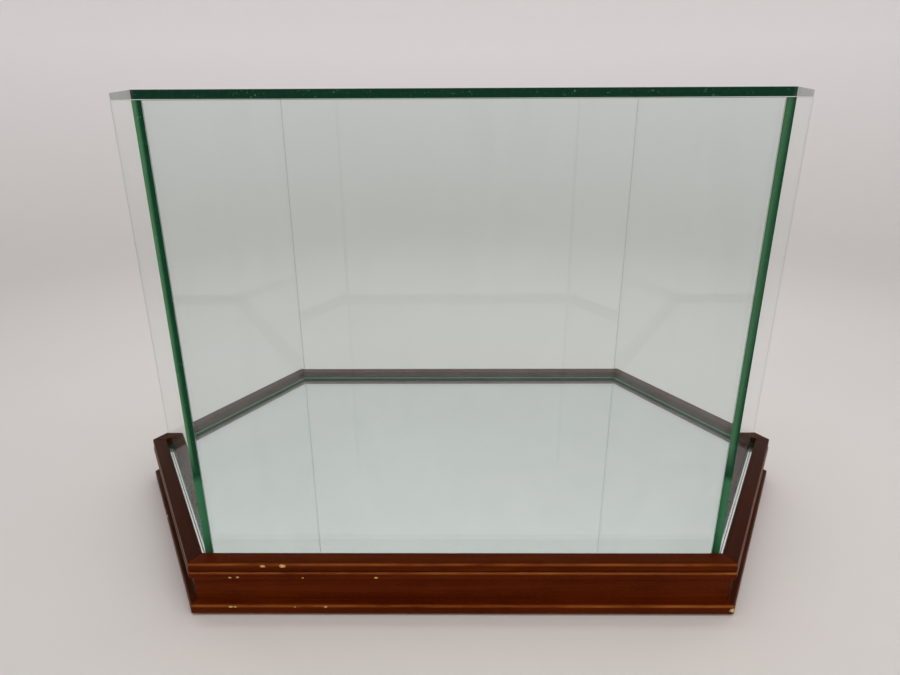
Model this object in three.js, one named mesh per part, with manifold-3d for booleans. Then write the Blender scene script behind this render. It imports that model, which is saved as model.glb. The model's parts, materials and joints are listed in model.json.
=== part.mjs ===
/**
 * Tabletop display case: a moulded wooden base in the shape of a long hexagon, with a mirror for a
 * floor, and a loose cover of plate glass that stands inside the raised rim.
 *
 * Millimetres, +Z up. The origin is at the middle of the footprint, on the table. The front faces -Y
 * and the long way is X. Every corner of the hexagon is 120 degrees.
 */
import * as THREE from "three";
import { mergeVertices } from "three/addons/utils/BufferGeometryUtils.js";
import Module from "manifold-3d";

// The plan: the outer edge of the rim's top face. All other outlines are offsets of this one.
const RIM_DEPTH = 346;
const RIM_FRONT_WIDTH = 379.5;

// Heights of the stack.
const FOOT_HEIGHT = 1.5;
const RAIL_HEIGHT = 41.5;
const RIM_TOP = FOOT_HEIGHT + RAIL_HEIGHT;
const RIM_WIDTH = 10.9;
const MIRROR_BELOW_RIM = 5.9;
const MIRROR_THICKNESS = 5;
const BOARD_THICKNESS = 12;
const LEDGE_WIDTH = 11.6;
const BOARD_INSET = 0.5;
const REST_GAP = 0.3;

const MIRROR_TOP = RIM_TOP - MIRROR_BELOW_RIM;
const MIRROR_BOTTOM = MIRROR_TOP - MIRROR_THICKNESS;
const BOARD_TOP = MIRROR_BOTTOM - REST_GAP;
const BOARD_BOTTOM = BOARD_TOP - BOARD_THICKNESS;
const LEDGE_TOP = BOARD_BOTTOM - REST_GAP;

// The glass cover.
const GLASS_THICKNESS = 5;
const GLASS_ABOVE_RIM = 300;
const COVER_CLEARANCE = 2.4;
const TOP_PANE_INSET = 0.3;
const WALL_BOTTOM = MIRROR_TOP + REST_GAP;
const WALL_TOP = RIM_TOP + GLASS_ABOVE_RIM;
const TOP_PANE_BOTTOM = WALL_TOP + REST_GAP;

// The moulding's outer face, as heights below the rim and distances out from the rim's edge.
const RIM_EDGE_RADIUS = 1.2;
const RIM_INNER_RADIUS = 0.6;
const FASCIA_DEPTH = 6.6;
const QUIRK_DEPTH = 0.9;
const QUIRK_HEIGHT = 1.2;
const BEAD_OUTSET = 0.5;
const BEAD_RADIUS = 1.2;
const BEAD_LOWER_RADIUS = 0.8;
const BEAD_BOTTOM = 13.3;
const FRIEZE_INSET = 2.5;
const FRIEZE_COVE = 1;
const PLINTH_TOP = 33.9;
const PLINTH_OUTSET = 2.8;
const PLINTH_EDGE_RADIUS = 1.5;
const PLINTH_FOOT_RADIUS = 0.5;

// Fixings and feet.
const SCREW_LENGTH = 25;
const SCREW_RADIUS = 2;
const SCREW_HEAD_RADIUS = 4;
const SCREW_HEAD_HEIGHT = 2.6;
const SCREW_HEAD_EDGE = 0.3;
const SCREW_TIP_LENGTH = 5;
const SCREW_RECESS_WIDTH = 1;
const SCREW_RECESS_LENGTH = 4.4;
const SCREW_RECESS_DEPTH = 1.6;
const LONG_RAIL_SCREW_OFFSET = 110;
const FIT_CLEARANCE = 0.15;
const V_NAIL_HEIGHT = 10;
const V_NAIL_WING = 5;
const V_NAIL_THICKNESS = 0.9;
const V_NAIL_SET_DEPTH = 0.2;
const FOOT_RADIUS = 8;
const FOOT_OUTSET = -9.5;
const JOINT_GAP = 0.3;
const MITRE_TRIM = JOINT_GAP / 2 / Math.sin(Math.PI / 3);

// The six sides in counter-clockwise order, each with the direction it faces.
const SIDES = [
  { name: "front", facing: -90 },
  { name: "front_right", facing: -30 },
  { name: "back_right", facing: 30 },
  { name: "back", facing: 90 },
  { name: "back_left", facing: 150 },
  { name: "front_left", facing: 210 },
].map(({ name, facing }) => {
  const angle = THREE.MathUtils.degToRad(facing);
  return {
    name,
    angle,
    normal: new THREE.Vector2(Math.cos(angle), Math.sin(angle)),
    along: new THREE.Vector2(-Math.sin(angle), Math.cos(angle)),
    reach: sideReach(facing),
  };
});

const stain = { color: 0x5a2412, roughness: 0.38, metalness: 0 };
const materials = {
  rail: new THREE.MeshStandardMaterial(stain),
  board: new THREE.MeshStandardMaterial({ color: 0xb08a5e, roughness: 0.8, metalness: 0 }),
  mirror: new THREE.MeshStandardMaterial({ color: 0xd5dcd8, roughness: 0.04, metalness: 1 }),
  glass: new THREE.MeshStandardMaterial({
    color: 0xcfe3d8,
    roughness: 0.03,
    metalness: 0,
    transparent: true,
    opacity: 0.35,
  }),
  felt: new THREE.MeshStandardMaterial({ color: 0x2f4a38, roughness: 0.95, metalness: 0 }),
  steel: new THREE.MeshStandardMaterial({ color: 0xb4b6b8, roughness: 0.35, metalness: 1 }),
};

const wasm = await Module();
wasm.setup();

/** Distance from the origin to the rim's outer edge on a side. */
function sideReach(facing) {
  if (Math.abs(facing) === 90) {
    return RIM_DEPTH / 2;
  }
  const halfLength = RIM_FRONT_WIDTH / 2 + (RIM_DEPTH / 2) * Math.tan(Math.PI / 6);
  return halfLength * Math.cos(Math.PI / 6);
}

function sideAt(index) {
  return SIDES[(index + SIDES.length) % SIDES.length];
}

/** The point where one side's line meets another's, each moved outwards by its own outset. */
function meet(sideA, outsetA, sideB, outsetB) {
  const a = sideA.reach + outsetA;
  const b = sideB.reach + outsetB;
  const det = sideA.normal.cross(sideB.normal);
  return new THREE.Vector2(
    (a * sideB.normal.y - b * sideA.normal.y) / det,
    (b * sideA.normal.x - a * sideB.normal.x) / det,
  );
}

/** The corner between a side and the next one, for the outline at this outset. */
function corner(index, outset) {
  return meet(sideAt(index), outset, sideAt(index + 1), outset);
}

function extrude(outline, bottom, top) {
  const geometry = new THREE.ExtrudeGeometry(new THREE.Shape(outline), {
    depth: top - bottom,
    bevelEnabled: false,
    curveSegments: 1,
  });
  return geometry.translate(0, 0, bottom);
}

function hexagonSlab(outset, bottom, top) {
  const outline = SIDES.map((_, index) => corner(index, outset));
  return extrude(outline, bottom, top);
}

/** Points of a quarter round from one angle to another, in degrees. */
function quarterRound(x, y, radius, from, to, steps = 8) {
  const points = [];
  for (let step = 0; step <= steps; step += 1) {
    const angle = THREE.MathUtils.degToRad(from + ((to - from) * step) / steps);
    points.push(new THREE.Vector2(x + radius * Math.cos(angle), y + radius * Math.sin(angle)));
  }
  return points;
}

/** The moulding's section: x is the outset from the rim's edge and y the height on the case. */
function railProfile() {
  const at = (outset, below) => new THREE.Vector2(outset, RIM_TOP - below);
  const round = (outset, below, radius, from, to) =>
    quarterRound(outset, RIM_TOP - below, radius, from, to);
  const quirkBottom = FASCIA_DEPTH + QUIRK_HEIGHT;
  const frieze = -FRIEZE_INSET;
  return [
    at(-RIM_WIDTH - LEDGE_WIDTH, RAIL_HEIGHT),
    ...round(
      PLINTH_OUTSET - PLINTH_FOOT_RADIUS,
      RAIL_HEIGHT - PLINTH_FOOT_RADIUS,
      PLINTH_FOOT_RADIUS,
      -90,
      0,
    ),
    ...round(
      PLINTH_OUTSET - PLINTH_EDGE_RADIUS,
      PLINTH_TOP + PLINTH_EDGE_RADIUS,
      PLINTH_EDGE_RADIUS,
      0,
      90,
    ),
    ...round(frieze + FRIEZE_COVE, PLINTH_TOP - FRIEZE_COVE, FRIEZE_COVE, -90, -180),
    at(frieze, BEAD_BOTTOM),
    ...round(
      BEAD_OUTSET - BEAD_LOWER_RADIUS,
      BEAD_BOTTOM - BEAD_LOWER_RADIUS,
      BEAD_LOWER_RADIUS,
      -90,
      0,
    ),
    ...round(BEAD_OUTSET - BEAD_RADIUS, quirkBottom + BEAD_RADIUS, BEAD_RADIUS, 0, 90),
    at(-QUIRK_DEPTH, quirkBottom),
    at(-QUIRK_DEPTH, FASCIA_DEPTH + QUIRK_DEPTH / 2),
    at(0, FASCIA_DEPTH),
    ...round(-RIM_EDGE_RADIUS, RIM_EDGE_RADIUS, RIM_EDGE_RADIUS, 0, 90),
    ...round(-RIM_WIDTH + RIM_INNER_RADIUS, RIM_INNER_RADIUS, RIM_INNER_RADIUS, 90, 180),
    new THREE.Vector2(-RIM_WIDTH, LEDGE_TOP),
    new THREE.Vector2(-RIM_WIDTH - LEDGE_WIDTH, LEDGE_TOP),
  ];
}

/** A bar of this section along one side, with both ends mitred. */
function mitredBar(index, profile) {
  const side = sideAt(index);
  const ring = (cornerIndex, shift) =>
    profile.map(({ x: outset, y: height }) => {
      const point = corner(cornerIndex, outset).addScaledVector(side.along, shift);
      return [point.x, point.y, height];
    });
  const positions = [...ring(index - 1, MITRE_TRIM), ...ring(index, -MITRE_TRIM)].flat();
  const count = profile.length;
  const triangles = [];
  for (let i = 0; i < count; i += 1) {
    const next = (i + 1) % count;
    triangles.push(i, count + next, count + i, i, next, count + next);
  }
  for (const [a, b, c] of THREE.ShapeUtils.triangulateShape(profile, [])) {
    triangles.push(a, c, b, count + a, count + b, count + c);
  }
  return closedMesh(positions, triangles);
}

/** A geometry from shared corners, turned inside out if its faces point inwards. */
function closedMesh(positions, triangles) {
  const geometry = new THREE.BufferGeometry();
  geometry.setAttribute("position", new THREE.Float32BufferAttribute(positions, 3));
  geometry.setIndex(triangles);
  if (signedVolume(geometry) < 0) {
    const flipped = [];
    for (let i = 0; i < triangles.length; i += 3) {
      flipped.push(triangles[i], triangles[i + 2], triangles[i + 1]);
    }
    geometry.setIndex(flipped);
  }
  return geometry;
}

function signedVolume(geometry) {
  const [a, b, c] = [new THREE.Vector3(), new THREE.Vector3(), new THREE.Vector3()];
  const { position } = geometry.attributes;
  const { array: order } = geometry.index;
  let volume = 0;
  for (let i = 0; i < order.length; i += 3) {
    a.fromBufferAttribute(position, order[i]);
    b.fromBufferAttribute(position, order[i + 1]);
    c.fromBufferAttribute(position, order[i + 2]);
    volume += a.dot(b.cross(c)) / 6;
  }
  return volume;
}

function toManifold(geometry) {
  const source = geometry.clone();
  source.deleteAttribute("normal");
  source.deleteAttribute("uv");
  const welded = mergeVertices(source, 1e-5);
  return new wasm.Manifold(
    new wasm.Mesh({
      numProp: 3,
      vertProperties: new Float32Array(welded.attributes.position.array),
      triVerts: new Uint32Array(welded.index.array),
    }),
  );
}

/** The geometry with every one of the tools cut out of it. */
function cut(geometry, tools) {
  let solid = toManifold(geometry);
  for (const tool of tools) {
    solid = solid.subtract(toManifold(tool));
  }
  const mesh = solid.getMesh();
  const result = new THREE.BufferGeometry();
  result.setAttribute("position", new THREE.BufferAttribute(mesh.vertProperties, 3));
  result.setIndex(new THREE.BufferAttribute(mesh.triVerts, 1));
  return result;
}

/** A countersunk screw pointing up, its head flush with z = 0. Clearance makes it the hole instead. */
function screwBlank(clearance) {
  const shank = SCREW_RADIUS + clearance;
  const head = SCREW_HEAD_RADIUS + clearance;
  const tipStart = SCREW_LENGTH - SCREW_TIP_LENGTH + clearance;
  const outline = [
    [0, 0],
    [head, 0],
    [head, SCREW_HEAD_EDGE],
    [shank, SCREW_HEAD_HEIGHT + clearance],
    [shank, tipStart],
    [0, SCREW_LENGTH + clearance],
  ].map(([radius, height]) => new THREE.Vector2(radius, height));
  return new THREE.LatheGeometry(outline, 24).rotateX(Math.PI / 2);
}

function screw() {
  const depth = SCREW_RECESS_DEPTH * 2;
  const bar = [SCREW_RECESS_LENGTH, SCREW_RECESS_WIDTH, depth];
  const recess = [0, Math.PI / 2].map((turn) => new THREE.BoxGeometry(...bar).rotateZ(turn));
  return cut(screwBlank(0), recess);
}

/** Where the screws stand, two in the front and back rails and one in each short rail. */
function screwPlaces() {
  const places = [];
  SIDES.forEach((side, index) => {
    const long = index % 3 === 0;
    const offsets = long ? [-LONG_RAIL_SCREW_OFFSET, LONG_RAIL_SCREW_OFFSET] : [0];
    const middle = side.normal
      .clone()
      .multiplyScalar(side.reach - RIM_WIDTH - LEDGE_WIDTH / 2);
    offsets.forEach((offset) => {
      const point = middle.clone().addScaledVector(side.along, offset);
      const end = point.x < 0 ? "_left" : "_right";
      places.push({ index, point, name: `${side.name}_rail${long ? end : ""}` });
    });
  });
  return places;
}

/** A V-nail's outline across the mitre at a corner: two wings that reach into the two rails. */
function vNailOutline(index, clearance) {
  const middle = corner(index, FOOT_OUTSET);
  const outwards = sideAt(index).normal.clone().add(sideAt(index + 1).normal).normalize();
  const across = new THREE.Vector2(-outwards.y, outwards.x);
  const at = (x, y) => middle.clone().addScaledVector(across, x).addScaledVector(outwards, y);
  const slant = Math.SQRT1_2;
  const half = V_NAIL_THICKNESS / 2 + clearance;
  const wing = V_NAIL_WING + clearance;
  const wingEnd = (sign, offset) => at(sign * (wing - offset) * slant, (wing + offset) * slant);
  return [
    at(0, -half / slant),
    wingEnd(1, -half),
    wingEnd(1, half),
    at(0, half / slant),
    wingEnd(-1, half),
    wingEnd(-1, -half),
  ];
}

function vNail(index) {
  const bottom = FOOT_HEIGHT + V_NAIL_SET_DEPTH;
  return extrude(vNailOutline(index, 0), bottom, bottom + V_NAIL_HEIGHT);
}

function vNailSlot(index) {
  const top = FOOT_HEIGHT + V_NAIL_SET_DEPTH + V_NAIL_HEIGHT + FIT_CLEARANCE;
  return extrude(vNailOutline(index, FIT_CLEARANCE), FOOT_HEIGHT - 1, top);
}

/**
 * The four corners of an upright pane in plan, with each end cut in its own way. A mitre meets the
 * neighbour's mitre, a butt lies against the neighbour's inner face, and a square end stops at the corner.
 */
function paneOutline(index, startCut, endCut) {
  const side = sideAt(index);
  const outer = -RIM_WIDTH - COVER_CLEARANCE;
  const inner = outer - GLASS_THICKNESS;
  const end = (neighbour, style, inwards) => {
    const tip = meet(side, outer, neighbour, outer);
    if (style === "square") {
      return [tip, tip.clone().addScaledVector(side.normal, -GLASS_THICKNESS)];
    }
    if (style === "butt") {
      return [outer, inner].map((outset) => meet(side, outset, neighbour, inner - JOINT_GAP));
    }
    return [tip, meet(side, inner, neighbour, inner)].map((point) =>
      point.addScaledVector(side.along, inwards * MITRE_TRIM),
    );
  };
  const [startOuter, startInner] = end(sideAt(index - 1), startCut, 1);
  const [endOuter, endInner] = end(sideAt(index + 1), endCut, -1);
  return [startOuter, endOuter, endInner, startInner];
}

/** The front pane stands between its neighbours, whose square ends show. The other corners are mitred. */
const PANE_CUTS = [
  ["butt", "butt"],
  ["square", "mitre"],
  ["mitre", "mitre"],
  ["mitre", "mitre"],
  ["mitre", "mitre"],
  ["mitre", "square"],
];

const displayCase = new THREE.Group();
displayCase.name = "tabletop_display_case";

function add(name, geometry, material) {
  geometry.computeVertexNormals();
  const mesh = new THREE.Mesh(geometry, material);
  mesh.name = name;
  displayCase.add(mesh);
}

const screws = screwPlaces();

SIDES.forEach((side, index) => {
  const holes = screws
    .filter((place) => place.index === index)
    .map(({ point }) => screwBlank(FIT_CLEARANCE).translate(point.x, point.y, FOOT_HEIGHT - 0.01));
  const slots = [index - 1, index].map(vNailSlot);
  const bar = mitredBar(index, railProfile());
  add(`rail_${side.name}`, cut(bar, [...holes, ...slots]), materials.rail);
});

const boardHoles = screws.map(({ point }) =>
  screwBlank(FIT_CLEARANCE).translate(point.x, point.y, FOOT_HEIGHT),
);
const board = hexagonSlab(-RIM_WIDTH - BOARD_INSET, BOARD_BOTTOM, BOARD_TOP);
add("base_board", cut(board, boardHoles), materials.board);

const mirror = hexagonSlab(-RIM_WIDTH - REST_GAP, MIRROR_BOTTOM, MIRROR_TOP);
add("mirror_floor", mirror, materials.mirror);

SIDES.forEach((side, index) => {
  const outline = paneOutline(index, ...PANE_CUTS[index]);
  add(`glass_${side.name}`, extrude(outline, WALL_BOTTOM, WALL_TOP), materials.glass);
});

const topPane = hexagonSlab(
  -RIM_WIDTH - COVER_CLEARANCE - TOP_PANE_INSET,
  TOP_PANE_BOTTOM,
  TOP_PANE_BOTTOM + GLASS_THICKNESS,
);
add("glass_top", topPane, materials.glass);

screws.forEach(({ name, point }) => {
  add(`screw_${name}`, screw().translate(point.x, point.y, FOOT_HEIGHT), materials.steel);
});

const CORNER_NAMES = [
  "front_right",
  "right",
  "back_right",
  "back_left",
  "left",
  "front_left",
];

CORNER_NAMES.forEach((name, index) => {
  add(`v_nail_${name}`, vNail(index), materials.steel);
  const { x, y } = corner(index, FOOT_OUTSET);
  const pad = new THREE.CylinderGeometry(FOOT_RADIUS, FOOT_RADIUS, FOOT_HEIGHT - REST_GAP, 40)
    .rotateX(Math.PI / 2)
    .translate(x, y, (FOOT_HEIGHT - REST_GAP) / 2);
  add(`foot_pad_${name}`, pad, materials.felt);
});

export default displayCase;
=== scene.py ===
"""The looks of the tabletop display case: stained mouldings, plate glass, a mirror and its fixings.

Metres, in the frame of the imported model. Lengths written in millimetres are multiplied by MM.
"""
import json
import math

import bmesh
import bpy
from mathutils import Matrix, Vector


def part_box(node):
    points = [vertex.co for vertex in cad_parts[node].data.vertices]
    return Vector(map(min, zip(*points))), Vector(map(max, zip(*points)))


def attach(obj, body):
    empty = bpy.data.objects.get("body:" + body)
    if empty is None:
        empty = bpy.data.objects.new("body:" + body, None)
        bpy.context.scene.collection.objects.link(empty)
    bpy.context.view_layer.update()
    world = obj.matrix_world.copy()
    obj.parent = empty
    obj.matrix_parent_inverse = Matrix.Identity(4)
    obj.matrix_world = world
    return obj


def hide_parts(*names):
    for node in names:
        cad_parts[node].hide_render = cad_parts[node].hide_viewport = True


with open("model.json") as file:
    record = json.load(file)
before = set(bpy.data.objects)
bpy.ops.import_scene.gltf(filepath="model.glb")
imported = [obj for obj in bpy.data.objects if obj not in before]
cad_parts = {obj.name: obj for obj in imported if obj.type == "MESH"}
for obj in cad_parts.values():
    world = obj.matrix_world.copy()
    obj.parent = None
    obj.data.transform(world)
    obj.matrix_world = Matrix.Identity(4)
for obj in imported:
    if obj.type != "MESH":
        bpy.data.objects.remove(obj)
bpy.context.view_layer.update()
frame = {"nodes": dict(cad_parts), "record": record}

MM = 0.001
BODY_OF = {
    node: body
    for body, nodes in frame["record"]["behaviour"]["bodies"].items()
    for node in nodes
}

# The way each side of the hexagon faces, in degrees from +X towards +Y.
SIDE_FACING = {
    "front": -90,
    "front_right": -30,
    "back_right": 30,
    "back": 90,
    "back_left": 150,
    "front_left": 210,
}

RAIL_LOW, RAIL_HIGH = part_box("rail_front")
RIM_TOP = RAIL_HIGH.z
PLINTH_OUTSET = 2.8 * MM
RIM_FRONT_Y = RAIL_LOW.y + PLINTH_OUTSET

# The moulding's arrises where the finish rubs thin and a painted highlight runs along them: (outset,
# depth below the rim, reach) in millimetres.
WORN_AND_HIGHLIT_ARRISES = (
    (-0.1, 1.5, 1.35),
    (0.35, 8.4, 1.25),
    (2.7, 35.0, 1.35),
)


# Node trees

# The colour sockets of a Mix node, which has others of the same names for numbers and vectors.
MIX_FACTOR, MIX_A, MIX_B = 0, 6, 7
MIX_RESULT = 2


class Tree:
    """A material's node tree, with short ways to add nodes and to connect them."""

    def __init__(self, name):
        self.material = bpy.data.materials.new(name)
        self.material.use_nodes = True
        self.tree = self.material.node_tree
        self.tree.nodes.clear()
        self.output = self.tree.nodes.new("ShaderNodeOutputMaterial")

    def add(self, kind, inputs=None, **settings):
        node = self.tree.nodes.new(kind)
        for key, value in settings.items():
            setattr(node, key, value)
        for key, value in (inputs or {}).items():
            self.feed(value, node.inputs[key])
        return node

    def feed(self, value, socket):
        if isinstance(value, bpy.types.NodeSocket):
            self.tree.links.new(value, socket)
        else:
            socket.default_value = value

    def surface(self, shader):
        self.tree.links.new(shader, self.output.inputs["Surface"])
        return self.material

    def principled(self, inputs):
        return self.add("ShaderNodeBsdfPrincipled", inputs).outputs[0]

    def diffuse(self, tint):
        return self.add("ShaderNodeBsdfDiffuse", {"Color": tint}).outputs[0]

    def clear(self, tint):
        return self.add("ShaderNodeBsdfTransparent", {"Color": tint}).outputs[0]

    def mix_shaders(self, factor, a, b):
        return self.add("ShaderNodeMixShader", {0: factor, 1: a, 2: b}).outputs[0]

    def attribute(self, name):
        return self.add("ShaderNodeAttribute", attribute_name=name)

    def place(self):
        """Where a point is on the object, in metres."""
        return self.add("ShaderNodeTexCoord").outputs["Object"]

    def height(self, vector):
        return self.add("ShaderNodeSeparateXYZ", {"Vector": vector}).outputs["Z"]

    def vector_math(self, operation, *vectors):
        return self.add("ShaderNodeVectorMath", dict(enumerate(vectors)), operation=operation)

    def length(self, vector):
        return self.vector_math("LENGTH", vector).outputs["Value"]

    def stretch(self, vector, scale):
        return self.add("ShaderNodeMapping", {"Vector": vector, "Scale": scale}).outputs[0]

    def noise(self, vector, detail, roughness, scale=1.0, distortion=0.0):
        inputs = {
            "Vector": vector,
            "Scale": scale,
            "Detail": detail,
            "Roughness": roughness,
            "Distortion": distortion,
        }
        return self.add("ShaderNodeTexNoise", inputs).outputs["Fac"]

    def span(self, value, low, high, to_low=0.0, to_high=1.0):
        """Value from low..high, clamped, as to_low..to_high."""
        inputs = {
            "Value": value,
            "From Min": low,
            "From Max": high,
            "To Min": to_low,
            "To Max": to_high,
        }
        return self.add("ShaderNodeMapRange", inputs, clamp=True).outputs[0]

    def math(self, operation, a, b=0.0):
        return self.add("ShaderNodeMath", {0: a, 1: b}, operation=operation).outputs[0]

    def greatest(self, values):
        """The largest of some values, or 0 where there are none."""
        if not values:
            return 0.0
        largest = values[0]
        for value in values[1:]:
            largest = self.math("MAXIMUM", largest, value)
        return largest

    def mix(self, factor, a, b):
        """Colour a where factor is 0 and b where it is 1."""
        inputs = {MIX_FACTOR: factor, MIX_A: a, MIX_B: b}
        return self.add("ShaderNodeMix", inputs, data_type="RGBA").outputs[MIX_RESULT]

    def bump(self, height, strength, distance):
        inputs = {"Height": height, "Strength": strength, "Distance": distance}
        return self.add("ShaderNodeBump", inputs).outputs[0]


def colour(red, green, blue):
    return (red, green, blue, 1.0)


# Materials


BARE_WOOD = colour(0.85, 0.6, 0.22)
# The colour of the rubbed arrises with painted light on it: lit at the front, in painted shade on the
# other rails.
WORN_IN_PAINTED_LIGHT = colour(0.45, 0.15, 0.03)
WORN_IN_PAINTED_SHADE = colour(0.26, 0.13, 0.08)


def stained_wood(name, richness, worn, chips):
    """Mahogany-stained wood under satin varnish, with its grain along the rail.

    Richness under 1 makes the colour browner and darker. worn is the colour of the rubbed arrises with
    their painted highlight, lit or in painted shade.
    chips are places where the finish is knocked off: (along, outset, height, radius), in metres.
    """
    t = Tree(name)
    place = t.attribute("rail_place").outputs["Vector"]
    wear_and_highlight = arris_wear_and_highlight(t, place)
    figure = t.noise(t.stretch(place, (5, 110, 110)), detail=5.0, roughness=0.6, distortion=0.8)
    fibres = t.noise(t.stretch(place, (60, 2400, 2400)), detail=3.0, roughness=0.6)
    mottle = t.noise(t.stretch(place, (20, 45, 45)), detail=3.0, roughness=0.5)
    grit = t.noise(t.stretch(place, (700, 1500, 1500)), detail=3.0, roughness=0.7)
    patches = t.noise(t.stretch(place, (22, 160, 160)), detail=5.0, roughness=0.7)
    speckle = t.noise(place, scale=1500.0, detail=2.0, roughness=0.6)

    def stain_colour(red, green, blue):
        return colour(red * richness, green * richness**0.6, blue * richness**-0.4)

    dark = stain_colour(0.078, 0.0082, 0.0008)
    middle = stain_colour(0.11, 0.0135, 0.001)
    light = stain_colour(0.18, 0.03, 0.002)
    pores = stain_colour(0.05, 0.004, 0.0008)
    flecks = stain_colour(0.22, 0.05, 0.005)
    painted_rim_shade = stain_colour(0.045, 0.006, 0.001)
    stain_and_painted_light = t.mix(t.span(mottle, 0.32, 0.68), dark, middle)
    stain_and_painted_light = t.mix(t.span(figure, 0.5, 0.78, 0.0, 0.8), stain_and_painted_light, light)
    stain_and_painted_light = t.mix(t.span(fibres, 0.27, 0.45, 0.55, 0.0), stain_and_painted_light, pores)
    stain_and_painted_light = t.mix(t.span(grit, 0.52, 0.78, 0.0, 0.5), stain_and_painted_light, flecks)

    # Painted shade: the rim's flat top is darkened.
    on_top = t.span(t.height(place), RIM_TOP - 0.3 * MM, RIM_TOP - 0.05 * MM, 0.0, 0.6)
    stain_and_painted_light = t.mix(on_top, stain_and_painted_light, painted_rim_shade)

    # The rubbed arrises, lighter from wear and from a painted highlight.
    rub_and_highlight = t.math("MULTIPLY", wear_and_highlight, t.span(patches, 0.36, 0.66, 0.2, 1.0))
    stain_and_painted_light = t.mix(t.math("MULTIPLY", rub_and_highlight, 0.8), stain_and_painted_light, worn)

    knocks = chip_mask(t, place, speckle, chips)
    base = t.mix(knocks, stain_and_painted_light, BARE_WOOD)

    gloss = t.span(mottle, 0.25, 0.75, 0.3, 0.4)
    gloss = t.math("ADD", gloss, t.math("MULTIPLY", rub_and_highlight, 0.1))
    gloss = t.math("ADD", gloss, t.math("MULTIPLY", knocks, 0.3))

    relief = t.math("ADD", t.math("MULTIPLY", fibres, 0.5), t.math("MULTIPLY", figure, 0.5))
    relief = t.math("SUBTRACT", relief, t.math("MULTIPLY", knocks, 3.0))
    varnished = t.principled(
        {
            "Base Color": base,
            "Roughness": gloss,
            "Normal": t.bump(relief, strength=0.3, distance=0.12 * MM),
            "Specular IOR Level": 0.07,
            "Specular Tint": colour(1.0, 0.45, 0.12),
        }
    )
    return t.surface(varnished)


def arris_wear_and_highlight(t, place):
    """1 along the middle of each rubbed arris and its painted highlight, falling to 0 at its reach."""
    section = t.stretch(place, (0, 1, 1))
    highlit_worn_arrises = []
    for outset, below, reach in WORN_AND_HIGHLIT_ARRISES:
        centre = (0, outset * MM, RIM_TOP - below * MM)
        gap = t.vector_math("DISTANCE", section, centre).outputs["Value"]
        highlit_worn_arrises.append(t.span(gap, 0.25 * reach * MM, reach * MM, 1.0, 0.0))
    return t.greatest(highlit_worn_arrises)


def chip_mask(t, place, speckle, chips):
    """1 inside any chip, with a ragged edge, and a little longer along the rail than across it."""
    masks = []
    for along, outset, height, radius in chips:
        apart = t.vector_math("SUBTRACT", place, (along, outset, height)).outputs[0]
        distance = t.length(t.stretch(apart, (0.6, 1.0, 1.0)))
        raggedness = t.span(speckle, 0.3, 0.7, -0.5 * radius, 0.5 * radius)
        ragged = t.math("ADD", distance, raggedness)
        masks.append(t.span(ragged, 0.85 * radius, radius, 1.0, 0.0))
    return t.greatest(masks)


GLASS_TINT = colour(0.92, 0.96, 0.952)
GLASS_IOR = 1.52


def clear_glass(t, tint):
    return t.principled(
        {"Base Color": tint, "Roughness": 0.0, "IOR": GLASS_IOR, "Transmission Weight": 1.0}
    )


def passing_light(t, shader, tint):
    """Lets lamps through the glass, which keeps what stands behind it lit."""
    path = t.add("ShaderNodeLightPath")
    soft = t.math("MAXIMUM", path.outputs["Is Shadow Ray"], path.outputs["Is Diffuse Ray"])
    return t.mix_shaders(soft, shader, t.clear(tint))


def pane_glass(name):
    """The face of a pane: clear, faintly green, with a little dust and a few wiped smears."""
    t = Tree(name)
    where = t.place()
    seen = passing_light(t, clear_glass(t, GLASS_TINT), GLASS_TINT)
    wiping = t.noise(t.stretch(where, (9, 9, 3)), detail=5.0, roughness=0.62, distortion=1.2)
    smears = t.span(wiping, 0.52, 0.85, 0.0, 0.035)
    motes = t.span(t.noise(where, scale=900.0, detail=1.0, roughness=0.4), 0.77, 0.8, 0.0, 0.22)
    film = t.diffuse(colour(0.72, 0.74, 0.72))
    return t.surface(t.mix_shaders(t.math("MAXIMUM", smears, motes), seen, film))


SCRATCHED_GLASS = colour(0.6, 0.68, 0.62)
DULL_GREENS = colour(0.04, 0.2, 0.085), colour(0.06, 0.26, 0.12)


def edge_glass(name, light, deep, foot=None):
    """A cut edge of float glass: deep green, with a painted light band along its length, and fine
    scratches.

    Below the height foot the edge is duller, and just above that it is all deep green.
    """
    t = Tree(name)
    where = t.place()
    # Painted light: the edge turns from its deep green to a lighter green where the value written on the
    # mesh is high.
    painted_light = t.attribute("edge_painted_light").outputs["Fac"]
    streak = t.noise(t.stretch(where, (240, 240, 6)), detail=4.0, roughness=0.6)
    blend = t.math("ADD", painted_light, t.span(streak, 0.3, 0.7, -0.12, 0.12))
    green = t.mix(t.span(blend, 0.42, 0.78), deep, light)
    if foot is not None:
        height = t.height(where)
        dull = t.mix(t.span(streak, 0.3, 0.7), *DULL_GREENS)
        green = t.mix(t.span(height, foot + 2 * MM, foot + 22 * MM), deep, green)
        green = t.mix(t.span(height, foot - 5 * MM, foot), dull, green)
    scratching = t.noise(
        t.stretch(where, (420, 420, 900)), detail=2.0, roughness=0.5, distortion=3.0
    )
    scratches = t.span(scratching, 0.68, 0.73, 0.0, 0.45)
    polished = t.principled(
        {
            "Base Color": t.mix(scratches, green, SCRATCHED_GLASS),
            "Roughness": t.span(streak, 0.3, 0.7, 0.1, 0.22),
            "IOR": GLASS_IOR,
            "Specular IOR Level": 0.2,
            "Specular Tint": colour(0.6, 1.0, 0.8),
            "Normal": t.bump(streak, strength=0.15, distance=0.1 * MM),
        }
    )
    return t.surface(polished)


def bonded_glass(name):
    """A mitre filled with clear adhesive, which shows nothing but a faint line at its arris."""
    t = Tree(name)
    return t.surface(t.clear(GLASS_TINT))


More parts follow.
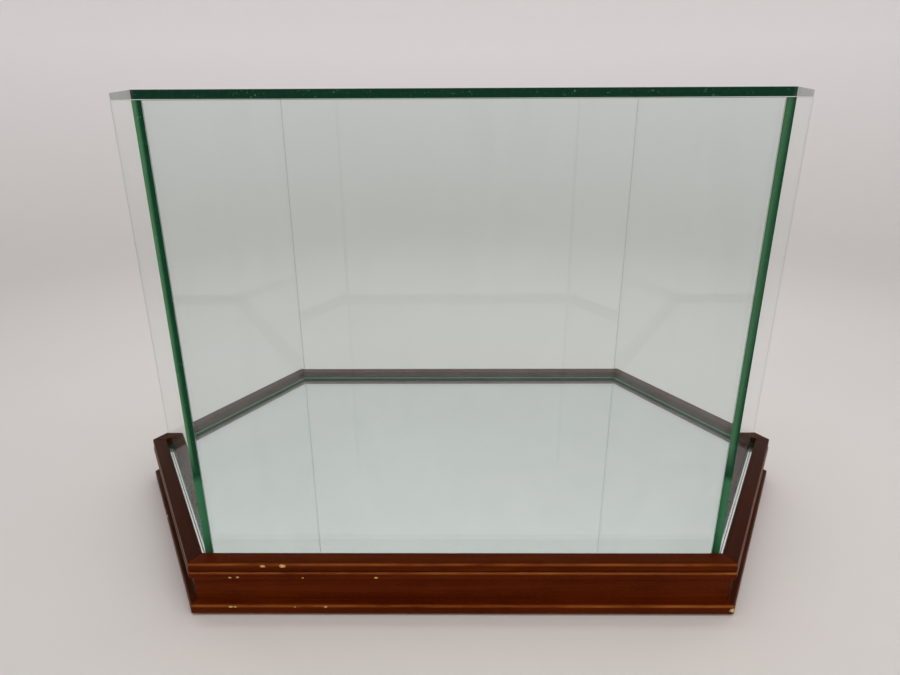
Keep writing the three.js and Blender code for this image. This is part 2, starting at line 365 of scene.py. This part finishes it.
def mirror_top(name):
    """The upper face of the mirror's glass, with a thin haze of dust and some specks."""
    t = Tree(name)
    where = t.place()
    glass = clear_glass(t, colour(0.97, 0.985, 0.975))
    dust = t.diffuse(colour(0.62, 0.61, 0.58))
    haze = t.span(t.noise(where, scale=14.0, detail=4.0, roughness=0.6), 0.35, 0.8, 0.015, 0.05)
    specks = t.span(t.noise(where, scale=700.0, detail=2.0, roughness=0.5), 0.72, 0.76, 0.0, 0.45)
    return t.surface(t.mix_shaders(t.math("MAXIMUM", haze, specks), glass, dust))


def mirror_silver(name):
    """The silvered back of the mirror, slightly green from the glass over it."""
    t = Tree(name)
    cloud = t.noise(t.place(), scale=5.0, detail=3.0, roughness=0.5)
    silver = t.mix(t.span(cloud, 0.3, 0.7), colour(0.87, 0.905, 0.895), colour(0.9, 0.925, 0.915))
    return t.surface(t.principled({"Base Color": silver, "Metallic": 1.0, "Roughness": 0.01}))


def plywood(name):
    """Raw plywood with a wavy figure and short fibres."""
    t = Tree(name)
    where = t.place()
    figure = t.noise(t.stretch(where, (5, 60, 60)), detail=6.0, roughness=0.6, distortion=1.5)
    fibres = t.noise(t.stretch(where, (30, 1400, 300)), detail=3.0, roughness=0.6)
    base = t.mix(t.span(figure, 0.3, 0.7), colour(0.4, 0.25, 0.12), colour(0.58, 0.4, 0.22))
    base = t.mix(t.span(fibres, 0.3, 0.5), colour(0.3, 0.18, 0.09), base)
    normal = t.bump(fibres, strength=0.4, distance=0.2 * MM)
    return t.surface(t.principled({"Base Color": base, "Roughness": 0.75, "Normal": normal}))


def felt(name):
    """Dark green pressed felt, worn grey in patches."""
    t = Tree(name)
    where = t.place()
    fluff = t.noise(where, scale=1800.0, detail=5.0, roughness=0.7, distortion=0.8)
    patch = t.noise(where, scale=160.0, detail=3.0, roughness=0.5)
    base = t.mix(t.span(fluff, 0.3, 0.7), colour(0.012, 0.02, 0.014), colour(0.04, 0.06, 0.042))
    base = t.mix(t.span(patch, 0.3, 0.7, 0.0, 0.4), base, colour(0.05, 0.055, 0.04))
    cloth = t.principled(
        {
            "Base Color": base,
            "Roughness": 0.95,
            "Sheen Weight": 0.4,
            "Sheen Roughness": 0.6,
            "Normal": t.bump(fluff, strength=0.8, distance=0.25 * MM),
        }
    )
    return t.surface(cloth)


def steel(name, dull):
    """Bright zinc plating where dull is 0, and plain rolled steel where it is 1."""
    t = Tree(name)
    where = t.place()
    cloud = t.noise(where, scale=420.0, detail=4.0, roughness=0.6)
    lines = t.noise(t.stretch(where, (300, 300, 5000)), detail=3.0, roughness=0.6)
    dark, bright = 0.62 - 0.25 * dull, 0.8 - 0.22 * dull
    dark_grey = colour(dark, dark, dark * 0.97)
    bright_grey = colour(bright, bright, bright * 0.98)
    metal = t.principled(
        {
            "Base Color": t.mix(t.span(cloud, 0.3, 0.7), dark_grey, bright_grey),
            "Metallic": 1.0,
            "Roughness": t.span(cloud, 0.3, 0.7, 0.24 + 0.1 * dull, 0.42 + 0.14 * dull),
            "Normal": t.bump(lines, strength=0.2, distance=0.05 * MM),
        }
    )
    return t.surface(metal)


def studio_floor(name):
    """A pale matt table with painted light and shade: warmer and lighter close to the case, darker far
    from it, and lighter up the wall.
    """
    t = Tree(name)
    where = t.place()
    cloud = t.noise(where, scale=1.6, detail=4.0, roughness=0.5)
    grain = t.noise(where, scale=240.0, detail=3.0, roughness=0.5)
    distance = t.length(t.stretch(where, (1, 1, 0)))
    near, far = colour(0.83, 0.735, 0.695), colour(0.6, 0.578, 0.56)
    wall = colour(0.8, 0.775, 0.775)
    base = t.mix(t.span(cloud, 0.3, 0.7), colour(0.69, 0.66, 0.642), colour(0.73, 0.697, 0.677))
    # Painted light close to the case, painted shade far from it, and painted light up the wall.
    base = t.mix(t.span(distance, 0.2, 0.45, 0.6, 0.0), base, near)
    base = t.mix(t.span(distance, 0.45, 1.15), base, far)
    base = t.mix(t.span(t.height(where), 0.02, 0.5), base, wall)
    table = t.principled(
        {
            "Base Color": base,
            "Roughness": t.span(grain, 0.3, 0.7, 0.5, 0.62),
            "Specular IOR Level": 0.25,
            "Normal": t.bump(grain, strength=0.08, distance=0.1 * MM),
        }
    )
    return t.surface(table)


# Meshes

# Corners closer than this are one corner, and faces that turn by less than this are one face.
SAME_CORNER = 0.004 * MM
SAME_PLANE = math.radians(0.6)

# How far each kind of arris is broken.
RAIL_ARRIS = 0.18 * MM
PANE_ARRIS = 0.25 * MM
MIRROR_ARRIS = 0.5 * MM
FOOT_ARRIS = 0.35 * MM
NIPPED_CORNER = 1.6 * MM

# The materials of a pane, in the order of its slots, and those of the mirror.
FACE, EDGE, BOND = 0, 1, 2
MIRROR_TOP, MIRROR_BACK, MIRROR_EDGE = 0, 1, 2

UP = Vector((0, 0, 1))


def cad_copy(node):
    """A new object with the CAD node's solid, its corners shared, flat faces joined into one."""
    mesh = frame["nodes"][node].data.copy()
    mesh.materials.clear()
    piece = bpy.data.objects.new(f"{node}_detail", mesh)
    bpy.context.scene.collection.objects.link(piece)
    bm = bmesh.new()
    bm.from_mesh(mesh)
    bmesh.ops.remove_doubles(bm, verts=bm.verts, dist=SAME_CORNER)
    bmesh.ops.dissolve_limit(
        bm,
        angle_limit=SAME_PLANE,
        verts=bm.verts,
        edges=bm.edges,
        use_dissolve_boundaries=False,
    )
    return piece, bm


def break_edges(bm, edges, offset, segments=2, material=0, clamp=False):
    """Rounds the edges, and gives the new faces the material slot of that number."""
    bmesh.ops.bevel(
        bm,
        geom=edges,
        offset=offset,
        offset_type="OFFSET",
        segments=segments,
        profile=0.5,
        affect="EDGES",
        clamp_overlap=clamp,
        material=material,
    )


def settle(piece, bm, node, materials, smooth_below=0):
    """Writes the mesh, shades it, and puts the piece in the CAD node's place.

    Edges that turn by less than smooth_below degrees are shaded round.
    """
    bmesh.ops.recalc_face_normals(bm, faces=bm.faces)
    bm.to_mesh(piece.data)
    bm.free()
    if smooth_below:
        piece.data.shade_smooth()
        piece.data.set_sharp_from_angle(angle=math.radians(smooth_below))
        weigh = piece.modifiers.new("flat faces stay flat", "WEIGHTED_NORMAL")
        weigh.keep_sharp = True
        weigh.weight = 90
    else:
        piece.data.shade_flat()
    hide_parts(node)
    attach(piece, BODY_OF[node])
    for material in materials:
        piece.data.materials.append(material)


def direction(side):
    """The unit vector that points straight out of a side of the hexagon."""
    angle = math.radians(SIDE_FACING[side])
    return Vector((math.cos(angle), math.sin(angle), 0))


def turns_by(edge, degrees):
    return edge.calc_face_angle(0) > math.radians(degrees)


def make_rail(side, material):
    """A length of moulding with its outer arrises slightly broken."""
    node = f"rail_{side}"
    piece, bm = cad_copy(node)
    bmesh.ops.recalc_face_normals(bm, faces=bm.faces)
    sharp = [e for e in bm.edges if e.is_convex and turns_by(e, degrees=38)]
    break_edges(bm, sharp, RAIL_ARRIS, clamp=True)
    bmesh.ops.triangulate(bm, faces=[f for f in bm.faces if len(f.verts) > 4])
    settle(piece, bm, node, [material], smooth_below=46)
    write_rail_places(piece.data, side)


def write_rail_places(mesh, side):
    """Stores where each point is along the rail, out from the rim and up, for the grain, the rubbed
    arrises and the painted light.
    """
    facing = direction(side)
    along = Vector((-facing.y, facing.x, 0))
    reach = max(facing.dot(v.co) for v in mesh.vertices) - PLINTH_OUTSET
    place = mesh.attributes.new("rail_place", "FLOAT_VECTOR", "POINT")
    for index, vertex in enumerate(mesh.vertices):
        outset = facing.dot(vertex.co) - reach
        place.data[index].vector = (along.dot(vertex.co) + grain_start(side), outset, vertex.co.z)


def grain_start(side):
    """How far into the wood's grain a rail begins, so that no two rails share a figure."""
    spacing = 1.7
    return spacing * list(SIDE_FACING).index(side)


def make_pane(node, materials, outward):
    """A pane with its cut edges green and slightly broken, and its bonded mitres clear.

    The top pane's corners are nipped.
    """
    piece, bm = cad_copy(node)
    for face in bm.faces:
        face.material_index = pane_part(face, outward)
    if outward == UP:
        corners = [e for e in bm.edges if parts_beside(e) == {EDGE}]
        break_edges(bm, corners, NIPPED_CORNER, segments=1, material=EDGE)
    cut = [
        e
        for e in bm.edges
        if parts_beside(e) in ({FACE, EDGE}, {EDGE}) and not is_upright(e)
    ]
    break_edges(bm, cut, PANE_ARRIS, material=EDGE)
    settle(piece, bm, node, materials)
    write_edge_painted_light(piece.data, outward)


def pane_part(face, outward):
    """Which material a pane's face takes, from the way it faces.

    Of the ends cut at 60 degrees, those that face the front stay green.
    """
    normal = face.normal
    if abs(normal.dot(outward)) > 0.9:
        return FACE
    is_wall_end = outward != UP and abs(normal.z) < 0.5
    if is_wall_end and is_mitre(normal, outward) and normal.y > -0.4:
        return BOND
    return EDGE


def is_mitre(normal, outward):
    """True for an end cut at 60 degrees to the pane's face, and False for a square one."""
    return abs(abs(normal.dot(outward)) - 0.5) < 0.1


def parts_beside(edge):
    return {face.material_index for face in edge.link_faces}


def is_upright(edge):
    return abs(edge.verts[0].co.z - edge.verts[1].co.z) > 10 * MM


def write_edge_painted_light(mesh, outward):
    """How much painted light the green edge takes, from 0 to 1.

    An upright edge is painted lighter on the left as seen from the front, and a level one towards its
    top.
    """
    tones = mesh.attributes.new("edge_painted_light", "FLOAT", "POINT")
    depth = [outward.dot(v.co) for v in mesh.vertices]
    low, high = min(depth), max(depth)
    for index, value in enumerate(depth):
        across = (value - low) / (high - low)
        if outward == UP:
            tones.data[index].value = 0.15 + 0.35 * across
        elif outward.x < 0:
            tones.data[index].value = across
        else:
            tones.data[index].value = 1.0 - 0.7 * across


def make_mirror(top, silver, edge):
    """The mirror as glass in front of its silvering, in one closed mesh."""
    node = "mirror_floor"
    piece, bm = cad_copy(node)
    for face in bm.faces:
        face.material_index = mirror_part(face)
    rim = [e for e in bm.edges if parts_beside(e) == {MIRROR_TOP, MIRROR_EDGE}]
    break_edges(bm, rim, MIRROR_ARRIS, material=MIRROR_EDGE)
    settle(piece, bm, node, [top, silver, edge])
    write_edge_painted_light(piece.data, UP)


def mirror_part(face):
    if face.normal.z > 0.5:
        return MIRROR_TOP
    if face.normal.z < -0.5:
        return MIRROR_BACK
    return MIRROR_EDGE


def make_foot(node, material):
    """A round pad with soft rims."""
    piece, bm = cad_copy(node)
    rims = [e for e in bm.edges if turns_by(e, degrees=45)]
    break_edges(bm, rims, FOOT_ARRIS, segments=3)
    settle(piece, bm, node, [material], smooth_below=40)


def dress(node, material):
    """Gives a CAD node a better material in all its slots."""
    mesh_object = frame["nodes"][node]
    for slot in mesh_object.material_slots:
        slot.material = material
    if not mesh_object.material_slots:
        mesh_object.data.materials.append(material)


# The case

# Knocks on the rails, as (along, outset, depth below the rim, radius) in millimetres.
FRONT_CHIPS_MM = (
    (-137.8, 0.0, 2.7, 1.0),
    (-124.1, 0.0, 2.6, 1.25),
    (-161.5, 0.5, 12.2, 0.7),
    (-156.0, 0.5, 11.9, 0.6),
    (-110.5, 0.5, 12.3, 0.45),
    (-59.5, 0.5, 12.2, 0.75),
    (-163.0, 2.8, 35.6, 0.75),
    (-159.6, 2.8, 35.5, 0.65),
    (-117.5, 2.8, 35.6, 0.4),
    (-96.0, 2.8, 35.6, 0.7),
    (190.9, 2.8, 38.2, 1.7),
)
FRONT_LEFT_CHIPS_MM = ((-64.0, 2.8, 34.8, 1.0),)
CHIPS_MM = {"front": FRONT_CHIPS_MM, "front_left": FRONT_LEFT_CHIPS_MM}

# How rich each rail's colour is made; under 1 it is browner and darker.
RICHNESS = {
    "front": 1.0,
    "front_right": 0.5,
    "back_right": 0.6,
    "back": 0.7,
    "back_left": 0.6,
    "front_left": 0.46,
}

for side, richness in RICHNESS.items():
    chips = [
        (along * MM + grain_start(side), outset * MM, RIM_TOP - below * MM, radius * MM)
        for along, outset, below, radius in CHIPS_MM.get(side, ())
    ]
    # The front rail's rubbed arrises are painted lit, and the others' are in painted shade.
    worn = WORN_IN_PAINTED_LIGHT if side == "front" else WORN_IN_PAINTED_SHADE
    make_rail(side, stained_wood(f"wood_{side}", richness, worn, chips))

# The light green of each edge is painted light; the deep green is the glass's own colour.
wall_edge = edge_glass(
    "pane_edge",
    light=colour(0.1, 0.29, 0.135),
    deep=colour(0.003, 0.075, 0.028),
    foot=RIM_TOP + 60 * MM,
)
top_edge = edge_glass(
    "top_edge",
    light=colour(0.006, 0.06, 0.03),
    deep=colour(0.002, 0.042, 0.019),
)
face = pane_glass("pane_face")
bond = bonded_glass("pane_bond")
for side in SIDE_FACING:
    make_pane(f"glass_{side}", (face, wall_edge, bond), direction(side))
make_pane("glass_top", (face, top_edge, bond), UP)

make_mirror(mirror_top("mirror_glass"), mirror_silver("mirror_silver"), top_edge)

felt_cloth = felt("foot_felt")
zinc = steel("zinc_screw", dull=0.0)
rolled = steel("v_nail_steel", dull=1.0)
for node in frame["nodes"]:
    if node.startswith("foot_pad"):
        make_foot(node, felt_cloth)
    elif node.startswith("screw"):
        dress(node, zinc)
    elif node.startswith("v_nail"):
        dress(node, rolled)
dress("base_board", plywood("board_ply"))


# Stage, light and camera


def make_stage():
    """A round pale floor that sweeps up into a wall."""
    radius, sweep, height = 1.9, 0.7, 2.6
    sweep_steps, turn_steps = 12, 96
    outline = [(0.0, 0.0), (radius - sweep, 0.0)]
    for step in range(1, sweep_steps + 1):
        angle = math.pi / 2 * step / sweep_steps
        outline.append((radius - sweep + sweep * math.sin(angle), sweep - sweep * math.cos(angle)))
    outline.append((radius, height))
    bm = bmesh.new()
    verts = [bm.verts.new((r, 0, z)) for r, z in outline]
    edges = [bm.edges.new(pair) for pair in zip(verts, verts[1:])]
    bmesh.ops.spin(
        bm,
        geom=verts + edges,
        cent=(0, 0, 0),
        axis=UP,
        angle=math.tau,
        steps=turn_steps,
        use_merge=True,
    )
    bmesh.ops.remove_doubles(bm, verts=bm.verts, dist=0.1 * MM)
    mesh = bpy.data.meshes.new("studio_floor")
    bm.to_mesh(mesh)
    bm.free()
    mesh.shade_smooth()
    mesh.materials.append(studio_floor("studio_floor"))
    floor = bpy.data.objects.new("studio_floor", mesh)
    bpy.context.scene.collection.objects.link(floor)


def area_lamp(name, place, target, size, watts):
    """A soft lamp that lights the case without showing in the glass or the mirror."""
    light = bpy.data.lights.new(name, "AREA")
    light.shape = "RECTANGLE"
    light.size, light.size_y = size
    light.energy = watts
    lamp = bpy.data.objects.new(name, light)
    lamp.location = place
    lamp.rotation_euler = (Vector(target) - Vector(place)).to_track_quat("-Z", "Y").to_euler()
    lamp.visible_camera = False
    lamp.visible_glossy = False
    lamp.visible_transmission = False
    bpy.context.scene.collection.objects.link(lamp)


def make_light():
    """An even white room, a large lamp overhead, one on the wall behind and a weak one in front."""
    world = bpy.data.worlds.new("studio")
    world.use_nodes = True
    background = world.node_tree.nodes["Background"]
    background.inputs["Color"].default_value = colour(1.0, 1.0, 1.0)
    background.inputs["Strength"].default_value = 0.37
    bpy.context.scene.world = world
    area_lamp("overhead", (0.1, -0.35, 2.2), target=(0, 0.1, 0), size=(1.5, 1.0), watts=12.6)
    area_lamp("backdrop", (0, 0.6, 2.4), target=(0, 1.9, 0.9), size=(2.6, 0.6), watts=17.5)
    area_lamp("front_fill", (0.9, -1.0, 1.3), target=(0, 0, 0.05), size=(0.9, 0.7), watts=3.4)


def make_camera():
    """A wide lens just in front of the case, level with its top pane and tilted down."""
    lens, sensor = 25.84, 36.0
    pitch, turn, roll = math.radians(20.264), math.radians(0.489), math.radians(-0.274)
    in_front, to_the_left, above_rim = 363.3 * MM, 4.3 * MM, 299.7 * MM
    data = bpy.data.cameras.new("camera")
    data.lens, data.sensor_width = lens, sensor
    data.clip_start, data.clip_end = 0.01, 50
    camera = bpy.data.objects.new("camera", data)
    tilt = (
        Matrix.Rotation(turn, 4, "Z")
        @ Matrix.Rotation(math.pi / 2 - pitch, 4, "X")
        @ Matrix.Rotation(roll, 4, "Z")
    )
    place = Vector((-to_the_left, RIM_FRONT_Y - in_front, RIM_TOP + above_rim))
    camera.matrix_world = Matrix.Translation(place) @ tilt
    bpy.context.scene.collection.objects.link(camera)
    bpy.context.scene.camera = camera


def set_light_paths():
    """Enough bounces to look through two panes, into the mirror and out through two more."""
    scene = bpy.context.scene
    scene.cycles.max_bounces = 24
    scene.cycles.glossy_bounces = 10
    scene.cycles.transmission_bounces = 20
    scene.cycles.transparent_max_bounces = 24
    scene.view_settings.view_transform = "Standard"


make_stage()
make_light()
make_camera()
set_light_paths()
